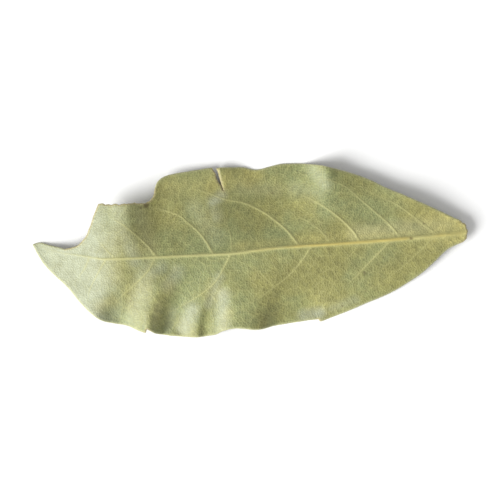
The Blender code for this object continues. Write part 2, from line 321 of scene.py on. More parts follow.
def path_through(points, step):
    """Even points along the smooth open path through the given ones, both ends included."""
    knots = [Vector(p) for p in points]
    if len(knots) == 2:
        dense = [knots[0].lerp(knots[1], k / 8) for k in range(9)]
    else:
        dense = [knots[0]]
        for i in range(len(knots) - 1):
            start, end = knots[i], knots[i + 1]
            before = knots[max(i - 1, 0)]
            after = knots[min(i + 2, len(knots) - 1)]
            leaving = (end - before) * 0.5
            arriving = (after - start) * 0.5
            dense += [cubic(k / 16, start, end, leaving, arriving) for k in range(1, 17)]
    length = sum((b - a).length for a, b in zip(dense, dense[1:]))
    count = max(1, round(length / step))
    even = [dense[0]]
    walked, i = 0.0, 0
    for k in range(1, count):
        target = length * k / count
        while walked + (dense[i + 1] - dense[i]).length < target:
            walked += (dense[i + 1] - dense[i]).length
            i += 1
        span = (dense[i + 1] - dense[i]).length
        even.append(dense[i].lerp(dense[i + 1], (target - walked) / span))
    return even + [dense[-1]]


def blade_height(x, y):
    """Height of the middle of the blade's thickness at a point of the plan."""
    middle = smooth(MIDRIB, x)
    if y > middle:
        part = (y - middle) / (smooth(WHOLE_UPPER, x) - middle)
        edge_height = smooth(UPPER_HEIGHT, x)
        fold = smooth(UPPER_FOLD, x)
    else:
        reach = middle - smooth(WHOLE_LOWER, x)
        part = (middle - y) / reach
        lean = WAVE_LEAN * max(0.0, 1 - part) ** 2 * reach
        edge_height = smooth(LOWER_HEIGHT, x - lean)
        fold = LOWER_FOLD
    share = part ** DOME * (1 - fold) + (1 - (1 - part) ** 2) * fold
    z = smooth(MIDRIB_HEIGHT, x) * (1 - share) + edge_height * share
    for swell_x, swell_y, radius, rise in SWELLINGS:
        near = ((x - swell_x) ** 2 + (y - swell_y) ** 2) / radius ** 2
        z += rise * max(0.0, 1.0 - near) ** 2
    for (start_x, start_y), (end_x, end_y), rise, tip_width, base_width in CREASES:
        run_x, run_y = end_x - start_x, end_y - start_y
        length = math.hypot(run_x, run_y)
        along = ((x - start_x) * run_x + (y - start_y) * run_y) / length ** 2
        aside = ((x - start_x) * run_y - (y - start_y) * run_x) / length
        if start_y > 0:
            aside = -aside
        width = base_width if aside > 0 else tip_width
        z += rise * ease(1.0 - along) * ease(1.0 - abs(aside) / width)
    return z


def flap_lift(x, y):
    """Extra height of the flap beside the split. The split's floor and the other side stay."""
    corner_x, corner_y, reach, lift = FLAP
    split_x = corner_x + (corner_y - y) * SPLIT_LEAN
    if x < split_x:
        return 0.0
    near = math.hypot(x - corner_x, y - corner_y) / reach
    return lift * ease(1 - near)


# ---- Properties ----

def length_property(name, description, millimetres):
    """A length that a user may change."""
    return FloatProperty(
        name=name, description=description, default=millimetres * MM, min=0.0,
        precision=5, unit="LENGTH", subtype="DISTANCE",
    )


def colour_property(name, description, colour):
    """A colour that a user may change."""
    return FloatVectorProperty(
        name=name, description=description, default=colour, size=3, min=0.0, max=1.0,
        subtype="COLOR",
    )


class LeafSizes(bpy.types.PropertyGroup):
    """Sizes of the leaf."""
    blade_thickness: length_property("Blade thickness", "Thickness of the dry blade", 0.32)
    rim_thickness: length_property("Rim thickness", "Thickness of the gristly rim", 0.40)
    rim_width: length_property("Rim width", "Width of the gristly rim", 0.55)
    midrib_half_width: length_property("Midrib half-width", "At the snapped base", 0.52)
    midrib_height: length_property("Midrib height", "Above the underside, at the base", 0.36)
    vein_height: length_property("Side vein height", "Of the stoutest side vein", 0.16)
    cockle_height: length_property("Cockle height", "Of the dry blade's small buckles", 0.22)
    cockle_size: length_property("Cockle size", "Across one small buckle", 4.5)
    lump_height: length_property("Lump height", "Of the lumps beside a torn edge", 0.36)
    ragged_height: length_property("Tear raggedness", "How far a tear's edge wanders", 0.22)
    seed: IntProperty(name="Seed", description="Changes the tears and buckles", default=7)


class LeafColours(bpy.types.PropertyGroup):
    """Colours of the leaf."""
    underside: colour_property("Underside", "Grey-green of the dry underside", (0.224, 0.258, 0.112))
    olive: colour_property("Olive patches", "Where the underside has yellowed", (0.270, 0.254, 0.081))
    # The bloom colour is also used for painted sheen and highlight.
    bloom_and_highlight: colour_property("Bloom", "Pale waxy bloom on the underside", (0.380, 0.405, 0.280))
    base: colour_property("Base", "Straw of the blade beside the snapped base", (0.480, 0.424, 0.145))
    vein: colour_property("Veins", "Straw of the side veins", (0.475, 0.460, 0.195))
    midrib: colour_property("Midrib", "Amber of the midrib towards the base", (0.520, 0.435, 0.130))
    rim: colour_property("Rim", "Pale straw of the gristly rim", (0.440, 0.438, 0.235))
    torn: colour_property("Torn edge", "Tan of a torn edge", (0.420, 0.365, 0.185))
    # The speck colour is also the painted shade in a small crumple's pits.
    speck_and_pit_shade: colour_property("Specks", "Brown of the small specks", (0.085, 0.060, 0.025))
    upper: colour_property("Upper side", "Olive of the glossier upper side", (0.180, 0.185, 0.060))
    upper_vein: colour_property("Upper side veins", "Veins seen from above", (0.330, 0.300, 0.120))


class StageLook(bpy.types.PropertyGroup):
    """Table, lights and camera."""
    table: colour_property("Table", "Colour of the pale table", (0.92, 0.92, 0.915))
    key_power: FloatProperty(name="Key light", description="Power of the large soft lamp",
                             default=38.1, min=0.0, unit="POWER")
    sky_strength: FloatProperty(name="Sky", description="Strength of the even light all round",
                                default=0.50, min=0.0)
    frame_width: length_property("Framed width", "Width of the table that the camera frames", 104.0)


# ---- The flat blade ----

def ragged(points, swing, pitch, seed_shift):
    """Points of one run of the edge, moved sideways as it wanders. Its ends stay."""
    moved = []
    last = len(points) - 1
    for i, point in enumerate(points):
        ahead = points[min(i + 1, last)] - points[max(i - 1, 0)]
        across = Vector((ahead.y, -ahead.x)).normalized()
        fade = min(1.0, i / 2, (last - i) / 2)
        place = Vector((point.x / pitch, point.y / pitch, seed_shift))
        sway = noise.noise(place) + 0.5 * noise.noise(place * 2.7)
        moved.append(point + across * swing * sway * fade)
    return moved


def trace_edge(sizes):
    """The blade's edge as [(point, kind)], anticlockwise, with no point repeated."""
    tear = sizes.ragged_height / MM
    swing_and_pitch = {NATURAL: (0.07, 3.5), BITTEN: (tear * 0.35, 1.3), TORN: (tear, 0.9)}
    edge = []
    corner = EDGE_RUNS[-1][1][-1]
    for kind, points in EDGE_RUNS:
        run = path_through((corner,) + points, EDGE_STEP)
        run = ragged(run, *swing_and_pitch[kind], sizes.seed * 3.1)
        edge += [(point, kind) for point in run[:-1]]
        corner = points[-1]
    return edge


def midrib_path(sizes):
    """The midrib as (point, half-width, rise, strength), thin at the tip, sunk at the base."""
    points = path_through(MIDRIB, ROW_STEP)
    tip_x, base_x = points[0].x, points[-1].x
    half_tip, half_base = 0.14, sizes.midrib_half_width / MM
    rise_tip, rise_base = 0.05, sizes.midrib_height / MM
    path = []
    for point in points:
        along = (point.x - tip_x) / (base_x - tip_x)
        sunk = ease((point.x - MIDRIB_SINKS) / (base_x - MIDRIB_SINKS))
        half = half_tip + (half_base - half_tip) * along ** 0.9
        rise = (rise_tip + (rise_base - rise_tip) * along) * ease((point.x - tip_x) / 12.0)
        strength = (0.10 + 0.84 * ease(along * 3.3)) * (1.0 - 0.55 * sunk)
        path.append((point, half, rise * (1.0 - 0.4 * sunk), strength))
    return path


def side_vein_path(half_start, points, stoutest, highest):
    """A side vein as (point, half-width, rise, strength), thinning and fading outwards."""
    taper, faded_part = 0.62, 0.35
    run = path_through(points, ROW_STEP)
    path = []
    for i, point in enumerate(run):
        along = i / (len(run) - 1)
        thin = 1.0 - taper * along
        fade = ease((1.0 - along) / faded_part)
        rise = highest * half_start / stoutest * thin ** 1.3 * fade
        strength = (0.2 + 0.65 * thin * half_start / stoutest) * fade
        path.append((point, half_start * 0.85 * thin, rise, strength))
    return path


def vein_paths(sizes):
    """Every vein's path, in millimetres, the midrib first."""
    stoutest = max(half for half, _ in SIDE_VEINS)
    highest = sizes.vein_height / MM
    return [midrib_path(sizes)] + [side_vein_path(half, points, stoutest, highest)
                                   for half, points in SIDE_VEINS]


class PlanPoints:
    """Points of the plan, kept apart by a grid of small squares."""

    def __init__(self):
        self.points = []
        self.squares = {}

    def square(self, point):
        """The grid square that a point is in."""
        return math.floor(point.x / NEAREST), math.floor(point.y / NEAREST)

    def add(self, point, apart):
        """Adds a point unless another is nearer than apart."""
        column, row = self.square(point)
        reach = math.ceil(apart / NEAREST)
        for i in range(column - reach, column + reach + 1):
            for j in range(row - reach, row + reach + 1):
                for other in self.squares.get((i, j), ()):
                    if (other - point).length < apart:
                        return
        self.points.append(point)
        self.squares.setdefault((column, row), []).append(point)


def distance_field(points):
    """A function that says how far a point of the plan is from the nearest of some points."""
    tree = KDTree(len(points))
    for i, point in enumerate(points):
        tree.insert(point.to_3d(), i)
    tree.balance()
    return lambda point: tree.find(point.to_3d())[2]


def fill_plan(edge_points, edge_distance, paths):
    """Points of the edge, then those inside it: rows along the veins, and an even fill."""
    plan = PlanPoints()
    for point in edge_points:
        plan.add(point, 0.0)

    def place(point, apart):
        if edge_distance(point) > EDGE_MARGIN:
            plan.add(point, apart)

    for path in paths:
        offsets = MIDRIB_ROWS if path is paths[0] else VEIN_ROWS
        for i, (point, *_) in enumerate(path):
            ahead = path[min(i + 1, len(path) - 1)][0] - path[max(i - 1, 0)][0]
            across = Vector((-ahead.y, ahead.x)).normalized()
            for offset in offsets:
                for side in ((1,) if offset == 0.0 else (1, -1)):
                    place(point + across * offset * side, NEAREST)
    row_gap = FILL_STEP * math.sqrt(3) / 2
    rows = round((LEAF_HIGH.y - LEAF_LOW.y) / MM / row_gap) + 1
    columns = round((LEAF_HIGH.x - LEAF_LOW.x) / MM / FILL_STEP) + 1
    for j in range(rows):
        for i in range(columns):
            x = LEAF_LOW.x / MM + (i + 0.5 * (j % 2)) * FILL_STEP
            y = LEAF_LOW.y / MM + j * row_gap
            place(Vector((x, y)), FILL_APART)
    return plan.points


def marks_at(point):
    """What the nodes read at a point of the plan, apart from its side and its distances."""
    return {
        "lift": (blade_height(point.x, point.y) + flap_lift(point.x, point.y)) * MM,
        # bloom is partly painted highlight, yellowing partly painted light, dullness partly painted
        # shade.
        "bloom_and_highlight": bloom_and_highlight_at(point),
        "yellowing_and_painted_light": yellowing_and_painted_light_at(point),
        "dullness_and_shade": streaks_at(point, DULL_AND_SHADE_STREAKS),
        "speck_and_pit_shade": speck_and_pit_shade_at(point),
        "aside": point.y - smooth(MIDRIB, point.x),
    }


def build_flat_blade(sizes, paths):
    """The blade as a flat two-sided sheet with the attributes that its nodes read."""
    edge = trace_edge(sizes)
    edge_points = [point for point, _ in edge]
    edge_distance = distance_field(edge_points)
    tear_distance = distance_field([point for point, kind in edge if kind != NATURAL])
    points = fill_plan(edge_points, edge_distance, paths)
    loop = list(range(len(edge)))
    plan, _, triangles, _, _, owners = delaunay_2d_cdt(points, [], [loop], 0, 1e-6, True)
    triangles = [corners for corners, inside in zip(triangles, owners) if inside]
    index_at = {}
    for i, point in enumerate(plan):
        index_at.setdefault((round(point.x, 5), round(point.y, 5)), i)
    ring = [index_at[(round(point.x, 5), round(point.y, 5))] for point in edge_points]

    shape = bmesh.new()
    names = ("lift", "bloom_and_highlight", "yellowing_and_painted_light", "dullness_and_shade", "speck_and_pit_shade", "aside", "face_side", "edge_gap",
             "torn")
    layers = {name: shape.verts.layers.float.new(name) for name in names}
    skin = shape.faces.layers.int.new("skin")

    def vertex(point, side, gap):
        vert = shape.verts.new((point.x * MM, point.y * MM, 0.0))
        tear = ease(1.0 - tear_distance(point) / TORN_REACH)
        stub = 0.8 * ease((point.x - STUB_FROM) / STUB_FADE)
        marks = marks_at(point) | {"face_side": side, "edge_gap": gap * MM,
                                   "torn": max(tear, stub)}
        for name, value in marks.items():
            vert[layers[name]] = value
        if side <= 0:
            vert[layers["speck_and_pit_shade"]] = 0.0
        return vert

    def face(corners, number):
        shape.faces.new(corners)[skin] = number

    used = sorted({i for triangle in triangles for i in triangle})
    gaps = {i: edge_distance(plan[i]) for i in used}
    under = {i: vertex(plan[i], 1.0, gaps[i]) for i in used}
    upper = {i: vertex(plan[i], -1.0, gaps[i]) for i in used}
    round_off = 0.35 * sizes.rim_thickness / MM
    outer = []
    for i, index in enumerate(ring):
        ahead = plan[ring[(i + 1) % len(ring)]] - plan[ring[i - 1]]
        out = Vector((ahead.y, -ahead.x)).normalized()
        outer.append(vertex(plan[index] + out * round_off, 0.0, 0.0))
    for a, b, c in triangles:
        face((under[a], under[b], under[c]), SKINS.index("Underside"))
        face((upper[a], upper[c], upper[b]), SKINS.index("Upper Side"))
    for i, index in enumerate(ring):
        j = (i + 1) % len(ring)
        face((under[index], outer[i], outer[j], under[ring[j]]), SKINS.index("Edge"))
        face((outer[i], upper[index], upper[ring[j]], outer[j]), SKINS.index("Edge"))
    mesh = bpy.data.meshes.new(PIECE_NAME)
    shape.to_mesh(mesh)
    shape.free()
    mesh.shade_smooth()
    return mesh


def streaks_at(point, streaks):
    """Strength of the strongest streak at a point: most on its middle line, fading sideways."""
    strongest = 0.0
    for start, end, reach, strength in streaks:
        near, along = intersect_point_line(point, start, end)
        if along < 0.0 or along > 1.0:
            near = Vector(start if along < 0.0 else end)
        gap = (near.xy - point).length / reach
        strongest = max(strongest, strength * ease(1.0 - gap))
    return strongest


def bloom_and_highlight_at(point):
    """How pale the underside is at a point, all over the tip and in streaks beyond it: partly waxy
    bloom, partly painted sheen and highlight.
    """
    end_x, fade = -24.0, 9.0
    return max(ease((end_x - point.x) / fade), streaks_at(point, BLOOM_AND_HIGHLIGHT_STREAKS))


def yellowing_and_painted_light_at(point):
    """How far the blade is drawn yellow: towards the base beside the midrib, and in streaks. Partly
    real yellowing, partly painted light on flanks that lie in shade.
    """
    start_x, fade, middle, reach = 27.0, 18.0, 2.0, 6.5
    aside = abs(point.y - smooth(MIDRIB, point.x) - middle) / reach
    base = ease((point.x - start_x) / fade) * ease(1.25 - aside)
    return max(base, streaks_at(point, YELLOW_AND_PAINTED_LIGHT_STREAKS))


def speck_and_pit_shade_at(point):
    """1 on a small brown speck or on the painted shade of a pit, 0 away from them all."""
    darkest = 0.0
    for x, y, radius in SPECKS_AND_PIT_SHADE:
        gap = math.hypot(point.x - x, point.y - y)
        darkest = max(darkest, ease(1.5 - gap / radius))
    return darkest


def build_vein_object(paths):
    """The vein paths as an edge mesh on the plan, with the numbers that its points carry."""
    mesh = bpy.data.meshes.new(VEIN_OBJECT)
    points, halves, rises, strengths = zip(*[place for path in paths for place in path])
    starts = set(accumulate(len(path) for path in paths))
    edges = [(i - 1, i) for i in range(1, len(points)) if i not in starts]
    mesh.from_pydata([(point.x * MM, point.y * MM, 0.0) for point in points], edges, [])
    for name, kind, values in (
        ("half_width", "FLOAT", [half * MM for half in halves]),
        ("rise", "FLOAT", [rise * MM for rise in rises]),
        ("strength", "FLOAT", strengths),
        ("is_midrib", "BOOLEAN", [i < len(paths[0]) for i in range(len(points))]),
    ):
        mesh.attributes.new(name, kind, "POINT").data.foreach_set("value", values)
    thing = bpy.data.objects.new(VEIN_OBJECT, mesh)
    bpy.context.scene.collection.objects.link(thing)
    return thing


# ---- Geometry Nodes: thickness, rim, veins and buckles ----

class Tree:
    """A node tree with short calls to add nodes and join them."""

    def __init__(self, tree):
        self.tree = tree

    def add(self, kind, settings=None, **inputs):
        """Adds a node. inputs are its sockets by name, with spaces as underscores."""
        node = self.tree.nodes.new(kind)
        for name, value in (settings or {}).items():
            setattr(node, name, value)
        for name, value in inputs.items():
            self.feed(node.inputs[name.replace("_", " ")], value)
        return node

    def feed(self, socket, value):
        """Sets a socket, or links it where value is another node's output."""
        if isinstance(value, bpy.types.NodeSocket):
            self.tree.links.new(value, socket)
        elif socket.type == "RGBA":
            socket.default_value = (*value, 1.0)
        else:
            socket.default_value = value

    def calculated(self, kind, settings, values, sockets=(0, 1, 2)):
        """A new node, with values for the sockets of the given numbers."""
        node = self.add(kind, settings)
        for number, value in zip(sockets, values):
            self.feed(node.inputs[number], value)
        return node

    def math(self, operation, *values):
        """A Math node's output."""
        return self.calculated("ShaderNodeMath", {"operation": operation}, values).outputs[0]

    def vector(self, operation, *values):
        """A Vector Math node's output."""
        return self.calculated("ShaderNodeVectorMath", {"operation": operation}, values).outputs[0]

    def product(self, *values):
        """The values multiplied together, from the left."""
        return reduce(lambda a, b: self.math("MULTIPLY", a, b), values)

    def total(self, *values):
        """The values added together, from the left."""
        return reduce(lambda a, b: self.math("ADD", a, b), values)

    def largest(self, *values):
        """The largest of the values."""
        return reduce(lambda a, b: self.math("MAXIMUM", a, b), values)

    def step(self, value, low, high):
        """0 below low, 1 above high, smooth between."""
        return self.add("ShaderNodeMapRange", {"interpolation_type": "SMOOTHSTEP"}, Value=value,
                        From_Min=low, From_Max=high).outputs["Result"]

    def mix(self, share, low, high):
        """A number mixed between low and high."""
        return self.calculated("ShaderNodeMix", {"data_type": "FLOAT"}, (share, low, high),
                               (0, 2, 3)).outputs[0]

    def blend(self, share, low, high, way="MIX"):
        """A colour mixed between low and high."""
        return self.calculated("ShaderNodeMix", {"data_type": "RGBA", "blend_type": way},
                               (share, low, high), (0, 6, 7)).outputs[2]

    def shaded(self, colour, shade):
        """A colour made darker or lighter by a number."""
        tone = self.add("ShaderNodeCombineXYZ", X=shade, Y=shade, Z=shade).outputs["Vector"]
        return self.blend(1.0, colour, tone, "MULTIPLY")

    def noise(self, place, scale, detail, roughness=0.5):
        """Smooth noise about 0.5."""
        return self.add("ShaderNodeTexNoise", Vector=place, Scale=scale, Detail=detail,
                        Roughness=roughness).outputs["Fac"]


def leaf_relief_tree():
    """Nodes that lift a flat blade to its waves and give it thickness, rim, veins and buckles."""
    group = bpy.data.node_groups.new("Leaf Relief", "GeometryNodeTree")
    for kind, names in (
        ("Geometry", ("Geometry",)),
        ("Object", ("Vein Paths",)),
        ("Float", RELIEF_LENGTHS + ("Seed",)),
        ("Material", SKINS),
    ):
        for name in names:
            group.interface.new_socket(name, in_out="INPUT", socket_type=f"NodeSocket{kind}")
    group.interface.new_socket("Geometry", in_out="OUTPUT", socket_type="NodeSocketGeometry")
    tree = Tree(group)
    given = tree.add("NodeGroupInput").outputs

    def attribute(name, kind="FLOAT"):
        return tree.add("GeometryNodeInputNamedAttribute", {"data_type": kind},
                        Name=name).outputs["Attribute"]

    def ridges_of(paths):
        """What the nearest of some vein paths does to a point."""
        away = tree.add("GeometryNodeProximity", {"target_element": "EDGES"},
                        Geometry=paths).outputs["Distance"]
        nearest = tree.add("GeometryNodeSampleNearest", {"domain": "POINT"},
                           Geometry=paths).outputs["Index"]

        def there(name):
            node = tree.add("GeometryNodeSampleIndex", {"data_type": "FLOAT", "domain": "POINT"},
                            Geometry=paths, Index=nearest)
            tree.feed(node.inputs["Value"], attribute(name))
            return node.outputs["Value"]

        spread = tree.math("DIVIDE", away, there("half_width"))

        def bell(power, steepness):
            """1 on the path, falling away sideways."""
            return tree.math("EXPONENT", tree.product(tree.math("POWER", spread, power), -steepness))

        on_vein = bell(*VEIN_BELL)
        strength = there("strength")
        return {"away": away, "bell": on_vein, "height": tree.product(there("rise"), on_vein),
                "mask": tree.product(strength, on_vein),
                "halo": tree.product(strength, bell(*HALO_BELL))}

    veins = tree.add("GeometryNodeObjectInfo", Object=given["Vein Paths"]).outputs["Geometry"]
    veins = tree.add("GeometryNodeSeparateGeometry", {"domain": "POINT"}, Geometry=veins,
                     Selection=attribute("is_midrib", "BOOLEAN")).outputs
    midrib = ridges_of(veins["Selection"])
    side_vein = ridges_of(veins["Inverted"])
    ridge = tree.largest(midrib["height"], side_vein["height"])

    position = tree.add("GeometryNodeInputPosition").outputs["Position"]
    split = tree.add("ShaderNodeSeparateXYZ", Vector=position).outputs
    spot = tree.add("ShaderNodeCombineXYZ", X=tree.math("DIVIDE", split["X"], given["Cockle Size"]),
                    Y=tree.math("DIVIDE", split["Y"], given["Cockle Size"]),
                    Z=given["Seed"]).outputs["Vector"]
    held = tree.step(midrib["away"], 0.0, BUCKLES_HELD * MM)
    buckle = tree.product(tree.math("SUBTRACT", tree.noise(spot, 1.0, 2.5), 0.5),
                          given["Cockle Height"], tree.mix(held, 0.25, 1.0))
    lumps = tree.product(tree.math("SUBTRACT", tree.noise(position, LUMP_SCALE, 1.0), 0.5),
                         given["Lump Height"], attribute("torn"))

    side = attribute("face_side")
    rim_share = tree.step(attribute("edge_gap"), given["Rim Width"], 0.0)
    thickness = tree.mix(rim_share, given["Blade Thickness"], given["Rim Thickness"])
    lowest = tree.product(given["Blade Thickness"], 0.5)
    middle = tree.math("SMOOTH_MAX", tree.total(attribute("lift"), buckle), lowest,
                       TABLE_SOFTNESS * MM)
    half = tree.product(thickness, 0.5, side)
    above = tree.product(tree.largest(side, 0.0), tree.total(ridge, lumps))
    below = tree.product(tree.math("MINIMUM", side, 0.0), tree.product(ridge, RIDGE_BELOW))
    height = tree.largest(tree.total(tree.total(middle, half), tree.total(above, below)), 0.0)
    place = tree.add("ShaderNodeCombineXYZ", X=split["X"], Y=split["Y"], Z=height).outputs["Vector"]

    shape = given["Geometry"]
    for name, value in (("vein", tree.largest(midrib["mask"], side_vein["mask"])),
                        ("midrib", midrib["bell"]),
                        ("halo", side_vein["halo"])):
        node = tree.add("GeometryNodeStoreNamedAttribute", {"data_type": "FLOAT", "domain": "POINT"},
                        Geometry=shape, Name=name)
        tree.feed(node.inputs["Value"], value)
        shape = node.outputs["Geometry"]
    shape = tree.add("GeometryNodeSetPosition", Geometry=shape, Position=place).outputs["Geometry"]
    shape = tree.add("GeometryNodeRealizeInstances", Geometry=shape).outputs["Geometry"]
    skin = attribute("skin", "INT")
    for number, name in enumerate(SKINS):
        chosen = tree.calculated("FunctionNodeCompare", {"data_type": "INT", "operation": "EQUAL"},
                                 (skin, number), (2, 3)).outputs["Result"]
        shape = tree.add("GeometryNodeSetMaterial", Geometry=shape, Selection=chosen,
                         Material=given[name]).outputs["Geometry"]
    tree.add("NodeGroupOutput", Geometry=shape)
    return group


def set_modifier_inputs(modifier, values):
    """Sets a Geometry Nodes modifier's inputs, given by name, through their identifiers."""
    identifiers = {item.name: item.identifier for item in modifier.node_group.interface.items_tree
                   if item.item_type == "SOCKET" and item.in_out == "INPUT"}
    for name, value in values.items():
        modifier[identifiers[name]] = value


# ---- Shader groups and materials ----

def shader_group(name, numbers, outputs, kind="NodeSocketFloat"):
    """A new shader node group, its tree and its inputs, which are a Vector and the numbers."""
    group = bpy.data.node_groups.new(name, "ShaderNodeTree")
    group.interface.new_socket("Vector", in_out="INPUT", socket_type="NodeSocketVector")
    for label, default in numbers.items():
        socket = group.interface.new_socket(label, in_out="INPUT", socket_type="NodeSocketFloat")
        socket.default_value = default
    for label in outputs:
        group.interface.new_socket(label, in_out="OUTPUT", socket_type=kind)
    tree = Tree(group)
    return group, tree, tree.add("NodeGroupInput").outputs


def net_group():
    """The net of small veins: pale lines round cells that wander."""
    group, tree, given = shader_group(
        "Leaf Net", {"Cell Size": 1.0, "Line Width": 0.1, "Ridge Width": 0.2, "Waviness": 0.3},
        ("Lines", "Ridges", "Cells"))
    scaled = tree.vector("DIVIDE", given["Vector"], given["Cell Size"])
    wander = tree.add("ShaderNodeTexNoise", Vector=scaled, Scale=1.4, Detail=2.0).outputs["Color"]
    wander = tree.vector("SUBTRACT", wander, (0.5, 0.5, 0.5))
    moved = tree.vector("MULTIPLY_ADD", wander, given["Waviness"], scaled)

    def cells(output, feature):
        return tree.add("ShaderNodeTexVoronoi", {"feature": feature, "voronoi_dimensions": "2D"},
                        Vector=moved, Scale=1.0, Randomness=0.9).outputs[output]

    gap = tree.product(cells("Distance", "DISTANCE_TO_EDGE"), given["Cell Size"])
    tone = tree.add("ShaderNodeSeparateXYZ", Vector=cells("Color", "F1")).outputs["X"]
    tree.add("NodeGroupOutput", Lines=tree.step(gap, given["Line Width"], 0.0),
             Ridges=tree.step(gap, given["Ridge Width"], 0.0), Cells=tone)
    return group


def rung_group():
    """Plan coordinates turned to the small cross veins on both sides of the midrib."""
    group, tree, given = shader_group(
        "Leaf Rungs", {"Aside": 0.0, "Slant": RUNG_SLANT, "Stretch": RUNG_STRETCH}, ("Rungs",),
        "NodeSocketVector")
    x = tree.add("ShaderNodeSeparateXYZ", Vector=given["Vector"]).outputs["X"]
    out = tree.math("ABSOLUTE", given["Aside"])
    forward = tree.math("COSINE", given["Slant"])
    sideways = tree.math("SINE", given["Slant"])
    along = tree.total(tree.product(x, forward), tree.product(out, sideways))
    along = tree.math("DIVIDE", along, given["Stretch"])
    across = tree.math("SUBTRACT", tree.product(out, forward), tree.product(x, sideways))
    other_half = tree.product(tree.math("GREATER_THAN", given["Aside"], 0.0), OTHER_HALF)
    turned = tree.add("ShaderNodeCombineXYZ", X=tree.total(across, other_half), Y=along)
    tree.add("NodeGroupOutput", Rungs=turned.outputs["Vector"])
    return group


def mottle_group():
    """Soft patches of a given size, as a mask."""
    group, tree, given = shader_group(
        "Leaf Mottle", {"Patch Size": 5.0, "Share": 0.5, "Softness": 0.15, "Detail": 4.0}, ("Mask",))
    scale = tree.math("DIVIDE", 1.0, given["Patch Size"])
    patches = tree.noise(given["Vector"], scale, given["Detail"], 0.55)
    level = tree.math("SUBTRACT", 1.0, given["Share"])
    low = tree.math("SUBTRACT", level, given["Softness"])
    high = tree.total(level, given["Softness"])
    tree.add("NodeGroupOutput", Mask=tree.step(patches, low, high))
    return group


class Surface(Tree):
    """The tree of a new material."""

    def __init__(self, name):
        self.material = bpy.data.materials.new(name)
        self.material.use_nodes = True
        super().__init__(self.material.node_tree)
        self.shader = self.tree.nodes["Principled BSDF"].inputs
        self.place = self.add("ShaderNodeTexCoord").outputs["Object"]


class Skin(Surface):
    """The tree of one of the leaf's materials, with the patterns that its skins share."""

    def __init__(self, name, groups):
        super().__init__(name)
        self.groups = groups
        self.plan = self.add("ShaderNodeVectorMath", {"operation": "SCALE"}, Vector=self.place,
                             Scale=1.0 / MM).outputs[0]

    def attribute(self, label):
        """A number that the leaf's points carry."""
        return self.add("ShaderNodeAttribute", {"attribute_name": label}).outputs["Fac"]

    def pattern(self, name, **inputs):
        """The outputs of a shader group."""
        return self.add("ShaderNodeGroup", {"node_tree": self.groups[name]}, **inputs).outputs

    def rungs(self):
        """Plan coordinates that run with the small cross veins."""
        return self.pattern("rungs", Vector=self.plan, Aside=self.attribute("aside"))["Rungs"]

    def net(self, cell, line, ridge, waviness, vector=None):
        """The net of small veins, with its sizes in millimetres."""
        return self.pattern("net", Vector=vector or self.plan, Cell_Size=cell, Line_Width=line,
                            Ridge_Width=ridge, Waviness=waviness)

    def mottle(self, patch, share, softness, detail=4.0, shift=(0.0, 0.0, 0.0), vector=None):
        """Soft patches, in millimetres. shift takes them from another part of the pattern."""
        moved = self.vector("ADD", vector or self.plan, shift)
        return self.pattern("mottle", Vector=moved, Patch_Size=patch, Share=share,
                            Softness=softness, Detail=detail)["Mask"]

    def finish(self, colour, roughness, bump_depth, bump):
        """Feeds the Principled shader and returns the material. bump_depth is in metres."""
        self.feed(self.shader["Base Color"], colour)
        self.feed(self.shader["Roughness"], roughness)
        normal = self.add("ShaderNodeBump", Strength=1.0, Distance=bump_depth, Height=bump)
        self.feed(self.shader["Normal"], normal.outputs["Normal"])
        return self.material


